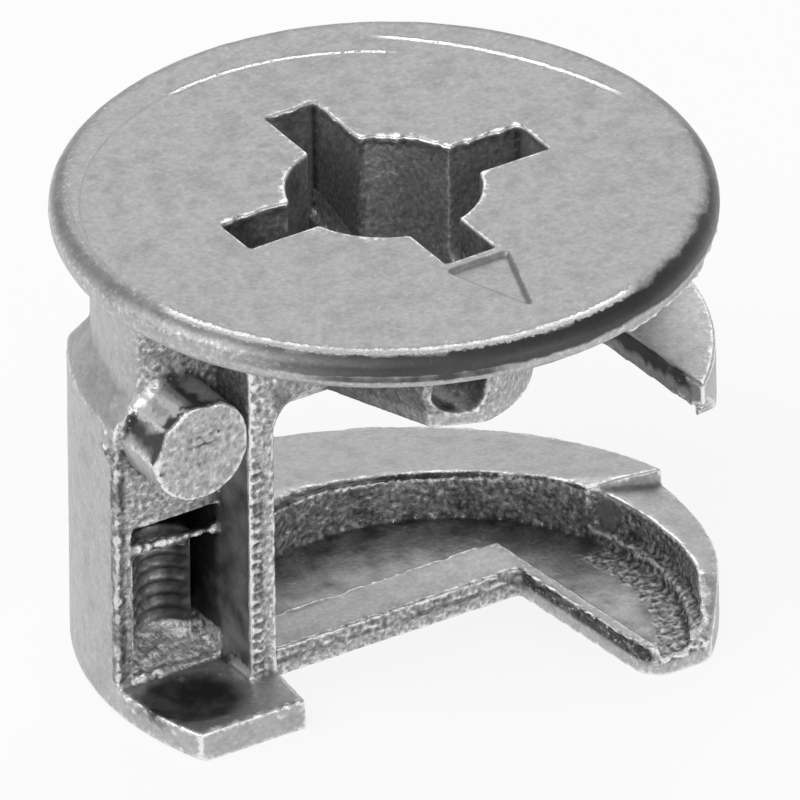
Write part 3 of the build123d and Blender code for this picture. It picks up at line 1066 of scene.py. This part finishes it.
def ring_group():
    """A ragged line on a circle about an upright axis, between two angles."""
    tree, given = new_tree("step_ring", "ShaderNodeTree", {
        "Place": "vector", "Centre": "vector", "Radius": 0.005, "Half width": 0.00004,
        "First angle": 0.0, "Last angle": 1.0, "Noise": 0.5, "Gaps": 0.2,
    }, {"Line": "float"})
    offset = tree.nodes.new("ShaderNodeVectorMath")
    offset.operation = "SUBTRACT"
    feed(tree, offset.inputs[0], given["Place"])
    feed(tree, offset.inputs[1], given["Centre"])
    parts = node(tree, "ShaderNodeSeparateXYZ", Vector=offset.outputs[0]).node.outputs
    squares = [times(tree, parts[k], parts[k]) for k in (0, 1)]
    reach = calc(tree, "SQRT", calc(tree, "ADD", *squares))
    turn = calc(tree, "ARCTAN2", parts[1], parts[0])
    away = calc(tree, "ABSOLUTE", calc(tree, "SUBTRACT", reach, given["Radius"]))
    shake = swing(tree, given["Noise"], RING_SHAKE)
    share = calc(tree, "ADD", calc(tree, "DIVIDE", away, given["Half width"]), shake)
    line = spread(tree, share, RING_CORE, 1.0, 1.0, 0.0)
    start = spread(tree, calc(tree, "SUBTRACT", turn, given["First angle"]), 0.0, RING_FADE)
    stop = spread(tree, calc(tree, "SUBTRACT", given["Last angle"], turn), 0.0, RING_FADE)
    gap_end = calc(tree, "ADD", given["Gaps"], GAP_FADE)
    unbroken = spread(tree, given["Noise"], given["Gaps"], gap_end)
    drawn = times(tree, line, times(tree, start, stop))
    return close_tree(tree, {"Line": times(tree, drawn, unbroken)})


RING = ring_group()
print("nodes in the ring group:", len(RING.nodes))

# %% [markdown]
# The finish is built up in layers: an even cast grey, coarser where the die was coarse, darker
# where shade and reflections are painted, and bright on worn edges and burrs and where highlights
# are painted.
# First comes what it reads: the place on the piece, the grain there, and the numbers stored on the
# mesh. Object coordinates keep the grain fixed to the metal from every side.

# %% Zinc: what the finish reads
METALLIC = 0.85

zinc.use_nodes = True
finish = zinc.node_tree
shader = finish.nodes["Principled BSDF"]
shader.inputs["Metallic"].default_value = METALLIC
here = finish.nodes.new("ShaderNodeTexCoord").outputs["Object"]
grain_node = node(finish, "ShaderNodeGroup", {"node_tree": GRAIN}, Place=here).node
grain = grain_node.outputs["Grain"]
spots = grain_node.outputs["Spots"]
zone = {
    name: node(finish, "ShaderNodeAttribute", {"attribute_name": name}).node.outputs["Fac"]
    for name in ("edge", "crease_shade", *ZONES, "rim")
}
print("zones that the finish reads:", ", ".join(zone))

# %% [markdown]
# The band round the rim, a painted reflection, and the rings on the top, painted highlight and
# painted shade along small steps, need a sharp border on flat metal, where the mesh has few points,
# so the material works them out. A ring's row is its centre, radius and half width in millimetres,
# its first and last angle in degrees, and how much of it is missing.

# %% Zinc: painted band round the rim, and rings on the top
BAND_SHAKE = 0.25
BAND_BOTTOM = (10.92, 11.0)
BAND_TOP = (11.40, 11.45)
TOP_FACE = (11.38, 11.42)
RING_HIGHLIGHTS = (
    ((-0.62, -0.39), 6.48, 0.08, 52, 102, 0.25),
    ((-3.04, -2.03), 9.90, 0.09, 14, 51, 0.2),
    ((0.0, 0.0), 7.14, 0.11, -167, -70, 0.15),
)
RING_SHADES = (
    ((-0.62, -0.39), 6.48, 0.04, 98, 165, 0.42),
    ((0.0, 0.0), 7.05, 0.05, 150, 179, 0.45),
)

height = node(finish, "ShaderNodeSeparateXYZ", Vector=here).node.outputs["Z"]


def by_height(value, heights, to_low=0.0, to_high=1.0):
    """A share that goes from one value to another between two heights in millimetres."""
    return spread(finish, value, heights[0] * MM, heights[1] * MM, to_low, to_high)


def rings_of(rows):
    """All the rings of one kind, on the top face only."""
    lines = 0.0
    for centre, radius, half, first, last, gaps in rows:
        ring = node(
            finish, "ShaderNodeGroup", {"node_tree": RING}, Place=here, Radius=radius * MM,
            Centre=(centre[0] * MM, centre[1] * MM, 0), Half_width=half * MM,
            First_angle=radians(first), Last_angle=radians(last), Noise=grain, Gaps=gaps,
        )
        lines = calc(finish, "MAXIMUM", ring, lines)
    return times(finish, lines, on_top)


on_top = by_height(height, TOP_FACE)
# Painted reflection: a dark band round the front of the rim, with a shaken border.
shaken_height = calc(finish, "ADD", height, swing(finish, spots, BAND_SHAKE * MM))
below_top = by_height(shaken_height, BAND_TOP, 1.0, 0.0)
band = times(finish, below_top, by_height(shaken_height, BAND_BOTTOM))
rim_reflection_band = times(finish, band, zone["rim"])
# Painted highlights and painted shade along the small steps on the top.
ring_highlights = rings_of(RING_HIGHLIGHTS)
ring_shades = rings_of(RING_SHADES)
print("rings on the top:", len(RING_HIGHLIGHTS) + len(RING_SHADES))

# %% [markdown]
# The tone is mixed in layers, and each layer is a share between what is under it and a new tone.
# The cast grey comes first, contrasty where the skin is coarse, and with painted shade a little
# darker on the top face. Then come the dark places, mostly painted shade and painted reflection, and
# then the painted shade in the hollows.

# %% Zinc: cast grey and dark places
GRAIN_LOW = 0.36
SMOOTH_HIGH, COARSE_HIGH = 0.64, 0.66
SMOOTH_TONES = (0.40, 0.62)
COARSE_TONES = (0.10, 0.95)
SPOT_SHARE, COARSE_SHARE = 0.45, 0.8
TOP_EDGE = (11.25, 11.36)
TOP_SHADE = 0.72
DARK_TONE = 0.035
RING_SHADE_SHARE, DARK_SHARE, CREASE_SHADE_SHARE = 0.5, 0.9, 0.75


def blend(share, under, over):
    """Goes from one value to another by a share."""
    return node(finish, "ShaderNodeMix", {"data_type": "FLOAT"}, Factor=share, A=under, B=over)


def ragged(name, noise, raggedness, softness):
    """A zone with a ragged border."""
    return node(
        finish, "ShaderNodeGroup", {"node_tree": BORDER},
        Zone=zone[name], Noise=noise, Raggedness=raggedness, Softness=softness,
    )


mottled = blend(SPOT_SHARE, grain, spots)
smooth_tone = spread(finish, mottled, GRAIN_LOW, SMOOTH_HIGH, *SMOOTH_TONES)
coarse_tone = spread(finish, grain, GRAIN_LOW, COARSE_HIGH, *COARSE_TONES)
tone = blend(times(finish, zone["coarse"], COARSE_SHARE), smooth_tone, coarse_tone)
# Painted shade: the top face is made a little darker.
tone = times(finish, tone, by_height(height, TOP_EDGE, 1.0, TOP_SHADE))
# Painted shade and painted reflection: the dark zone, the rim's band and the rings' shade.
dark = calc(finish, "MAXIMUM", ragged("dark", spots, 0.5, 0.4), rim_reflection_band)
dark = calc(finish, "MAXIMUM", dark, times(finish, ring_shades, RING_SHADE_SHARE))
tone = blend(times(finish, dark, DARK_SHARE), tone, DARK_TONE)
# Painted shade in the hollows, where the skin bends inward.
tone = blend(times(finish, zone["crease_shade"], CREASE_SHADE_SHARE), tone, DARK_TONE)
print("zinc nodes so far:", len(finish.nodes))

# %% [markdown]
# Bright metal shows on edges and burrs, as wear and painted highlight, as painted highlights on
# spots, flats and rings, and as flecks on the coarse skin. An edge that lies in a dark place stays
# dark, so there its brightness is taken back. The light mask goes over the tone last.

# %% Zinc: bright metal and painted highlights
BRIGHT_TONE = 0.95
LIGHT_SHARE = 0.9
FLECK_START, FLECK_FULL = 0.6, 0.66
NOT_DARK_BELOW, DARK_ABOVE = 0.2, 0.8

fleck = times(finish, spread(finish, grain, FLECK_START, FLECK_FULL), zone["specks"])
not_dark = spread(finish, dark, NOT_DARK_BELOW, DARK_ABOVE, 1.0, 0.0)
# Wear and painted highlight on the edges, taken back where the tone is dark.
wear_and_glint = times(finish, ragged("edge", grain, 0.5, 0.25), not_dark)
bright_and_glint = ragged("bright", grain, 0.5, 0.2)
fleck_or_edge_glint = calc(finish, "MAXIMUM", fleck, wear_and_glint)
light = calc(finish, "MAXIMUM", fleck_or_edge_glint, calc(finish, "MAXIMUM", bright_and_glint, ring_highlights))
tone = blend(times(finish, light, LIGHT_SHARE), tone, BRIGHT_TONE)
finish.links.new(tone, shader.inputs["Base Color"])
print("zinc nodes so far:", len(finish.nodes))

# %% [markdown]
# Bright metal is also smoother than cast metal, and the groove's floor and the tab's dish lie
# between the two. The grain is a relief as well, too fine for the mesh, so a Bump node carries it.

# %% Zinc: roughness and relief
CAST_ROUGHNESS, POLISHED_ROUGHNESS, BRIGHT_ROUGHNESS = 0.44, 0.30, 0.22
SMOOTH_RELIEF, COARSE_RELIEF, RING_RELIEF = 0.25, 1.0, 0.6
BUMP_STRENGTH = 0.9
BUMP_DEPTH = 0.05 * MM

unrubbed = blend(zone["polish"], CAST_ROUGHNESS, POLISHED_ROUGHNESS)
finish.links.new(blend(light, unrubbed, BRIGHT_ROUGHNESS), shader.inputs["Roughness"])
grain_height = spread(finish, zone["coarse"], 0.0, 1.0, SMOOTH_RELIEF, COARSE_RELIEF)
relief = times(finish, grain, grain_height)
relief = calc(finish, "ADD", relief, times(finish, ring_highlights, RING_RELIEF))
bump = node(finish, "ShaderNodeBump", Height=relief, Strength=BUMP_STRENGTH, Distance=BUMP_DEPTH)
finish.links.new(bump, shader.inputs["Normal"])

casting.data.materials.clear()
casting.data.materials.append(zinc)
print("zinc nodes:", len(finish.nodes))

# %% [markdown]
# The floor is a plain pale sheet, wide enough to fill the picture. To be near white without more
# light on the part, it gives part of its own light to the camera and to reflections only, and the
# rest is lit paper, so that the part's shadow stays.

# %% Floor
FLOOR_REACH = 0.6
FLOOR_GLOW = 0.85
PAPER_TONE = 0.97
PAPER_ROUGHNESS = 0.9

corners = [(-1, -1), (1, -1), (1, 1), (-1, 1)]
floor_data = bpy.data.meshes.new("floor")
floor_data.from_pydata([(a * FLOOR_REACH, b * FLOOR_REACH, 0) for a, b in corners], [], [(0, 1, 2, 3)])
floor = placed("floor", floor_data)
paper = bpy.data.materials.new("floor_paper")
paper.use_nodes = True
sheet = paper.node_tree
lit = sheet.nodes["Principled BSDF"]
lit.inputs["Base Color"].default_value = (PAPER_TONE, PAPER_TONE, PAPER_TONE, 1)
lit.inputs["Roughness"].default_value = PAPER_ROUGHNESS
lit.inputs["Specular IOR Level"].default_value = 0.0
rays = sheet.nodes.new("ShaderNodeLightPath").outputs
reflected = calc(sheet, "MAXIMUM", rays["Is Glossy Ray"], rays["Is Transmission Ray"])
seen = calc(sheet, "MAXIMUM", rays["Is Camera Ray"], reflected)
glow = node(sheet, "ShaderNodeEmission", Strength=1.0)
mixed = sheet.nodes.new("ShaderNodeMixShader")
feed(sheet, mixed.inputs[0], times(sheet, seen, FLOOR_GLOW))
feed(sheet, mixed.inputs[1], lit.outputs[0])
feed(sheet, mixed.inputs[2], glow)
sheet.links.new(mixed.outputs[0], sheet.nodes["Material Output"].inputs["Surface"])
floor.data.materials.append(paper)
print("floor is", 2 * FLOOR_REACH, "m wide")

# %% [markdown]
# A plain studio has large soft lamps, so that shadows are soft and metal shows broad highlights.
# The key lamp is behind the part and rather low, so that it also reaches the top of the lower jaw.
# A high one in front at the left, one at the left and a weak low one in front open up the rest. A
# lamp's row is its name, its two angles in degrees, its width in metres and its power in watts.

# %% Light
LAMPS = (
    ("key", 150, 38, 0.16, 0.10),
    ("high_front", -48, 55, 0.12, 0.10),
    ("left", -100, 35, 0.12, 0.10),
    ("front", 10, 12, 0.12, 0.065),
)
LAMP_DISTANCE = 0.20
LAMP_AIM = Vector((0, 0, 6 * MM))
WORLD_STRENGTH = 0.4


def soft_lamp(name, azimuth, elevation, size, watts):
    """A square lamp that looks at the part from a direction round it."""
    a, e = radians(azimuth), radians(elevation)
    towards = Vector((sin(a) * cos(e), -cos(a) * cos(e), sin(e)))
    data = bpy.data.lights.new(name, "AREA")
    data.shape = "SQUARE"
    data.size = size
    data.energy = watts
    lamp = placed(name, data)
    stand = LAMP_AIM + towards * LAMP_DISTANCE
    facing = towards.to_track_quat("Z", "Y").to_matrix().to_4x4()
    lamp.matrix_world = Matrix.Translation(stand) @ facing


for lamp_row in LAMPS:
    soft_lamp(*lamp_row)
world = bpy.data.worlds.new("world")
world.use_nodes = True
sky = world.node_tree.nodes["Background"].inputs
sky["Color"].default_value = (1, 1, 1, 1)
sky["Strength"].default_value = WORLD_STRENGTH
bpy.context.scene.world = world
bpy.context.scene.view_settings.view_transform = "Standard"
print("lamps:", ", ".join(name for name, *_ in LAMPS))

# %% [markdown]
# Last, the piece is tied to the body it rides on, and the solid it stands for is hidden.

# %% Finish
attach(casting, "root")
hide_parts("cam_housing")
